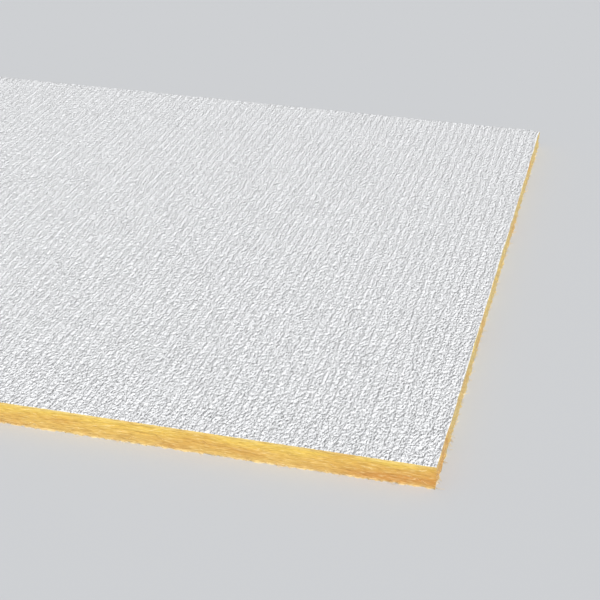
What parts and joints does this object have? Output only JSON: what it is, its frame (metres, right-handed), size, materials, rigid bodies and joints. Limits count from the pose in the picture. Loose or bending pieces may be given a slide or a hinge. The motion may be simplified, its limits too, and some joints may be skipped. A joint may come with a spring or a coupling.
{
  "type": "suspended ceiling tile",
  "caption": "Rectangular lay-in ceiling panel: a thin yellow glass wool board faced with a white vinyl film embossed in fine ribs, with square cut edges, for a suspended ceiling grid.",
  "frame": {"origin": "centre of the panel's back, in the plane that it lies on", "axes": "+X along the long edges, +Y along the short edges and the ribs, +Z out of the white face"},
  "size_m": [1.213, 0.603, 0.0159],
  "materials": {
    "glass_wool": "resin-bonded yellow glass wool, cut edges matte and fibrous",
    "embossed_vinyl": "white vinyl film, embossed in fine broken ribs, matte"
  },
  "bodies": {
    "root": {"glass_wool_board": "glass_wool", "facing_film": "embossed_vinyl"}
  },
  "joints": []
}
